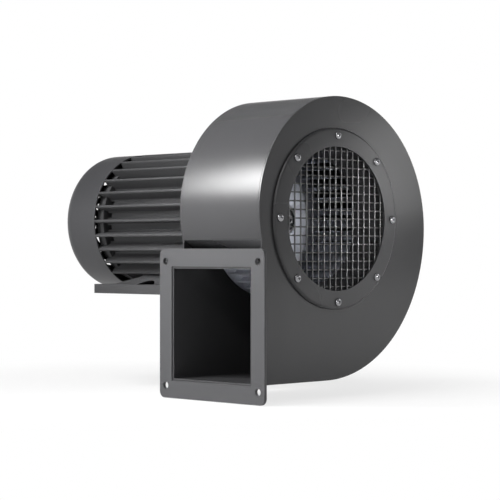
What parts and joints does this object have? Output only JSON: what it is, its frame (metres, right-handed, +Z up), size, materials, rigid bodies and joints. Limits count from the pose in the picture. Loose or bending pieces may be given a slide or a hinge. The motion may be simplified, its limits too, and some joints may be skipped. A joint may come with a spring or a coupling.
{
  "type": "blower fan",
  "caption": "Foot-mounted dc centrifugal blower: sheet-steel scroll housing with square outlet flange, guarded round inlet, multi-blade impeller and finned brushed motor.",
  "frame": {"origin": "centre of the four foot holes, on the underside of the motor's feet", "axes": "+Y along the shaft from the inlet to the motor's cowl, +Z up, outlet towards -X"},
  "size_m": [0.2364, 0.3289, 0.2755],
  "materials": {
    "housing_paint": "semi-gloss dark grey powder coat",
    "flange_paint": "semi-gloss dark grey powder coat",
    "guard_paint": "semi-gloss dark grey powder coat",
    "guard_wire": "bright drawn wire",
    "motor_paint": "satin dark grey paint on die-cast aluminium",
    "cowl_paint": "semi-gloss dark grey powder coat",
    "zinc_screws": "bright zinc plate",
    "galvanised_sheet": "galvanised sheet",
    "hub_metal": "turned aluminium",
    "ground_steel": "ground steel",
    "core_steel": "laminated silicon steel",
    "ferrite": "sintered ferrite",
    "copper": "copper",
    "brass": "folded brass",
    "spring_steel": "spring steel",
    "carbon": "electrographite",
    "phenolic": "phenolic board",
    "black_plastic": "moulded nylon"
  },
  "bodies": {
    "casing": {"inlet_side_plate": "housing_paint", "motor_side_plate": "housing_paint", "scroll_wrapper": "housing_paint", "cut_off_sheet": "housing_paint", "outlet_flange": "flange_paint", "guard_ring": "guard_paint", "inlet_cone": "guard_paint", "guard_mesh": "guard_wire", "motor_frame": "motor_paint", "front_end_shield": "motor_paint", "rear_end_shield": "motor_paint", "left_foot": "motor_paint", "right_foot": "motor_paint", "fan_cowl": "cowl_paint", "guard_screws": "zinc_screws", "guard_nuts": "zinc_screws", "flange_bolts": "zinc_screws", "cowl_screws": "zinc_screws", "foot_screws": "zinc_screws", "tie_bolts": "zinc_screws", "front_bearing_outer": "ground_steel", "front_bearing_balls": "ground_steel", "rear_bearing_outer": "ground_steel", "rear_bearing_balls": "ground_steel", "field_magnets": "ferrite", "brush_holders": "brass", "brush_springs": "spring_steel", "brushes": "carbon", "brush_yoke": "phenolic", "cable_gland": "black_plastic"},
    "rotor": {"impeller_front_ring": "galvanised_sheet", "impeller_blades": "galvanised_sheet", "impeller_back_disc": "galvanised_sheet", "impeller_hub": "hub_metal", "hub_rivets": "zinc_screws", "hub_washer": "zinc_screws", "hub_end_screw": "zinc_screws", "shaft_key": "ground_steel", "motor_shaft": "ground_steel", "front_bearing_inner": "ground_steel", "rear_bearing_inner": "ground_steel", "armature_core": "core_steel", "armature_windings": "copper", "commutator": "copper", "cooling_fan": "black_plastic", "fan_circlip": "ground_steel"}
  },
  "joints": [
    {"name": "fan_spin", "type": "hinge", "parent": "casing", "child": "rotor", "pos_m": [0, -0.1075, 0.071], "axis": [0, 1, 0], "continuous": true}
  ]
}
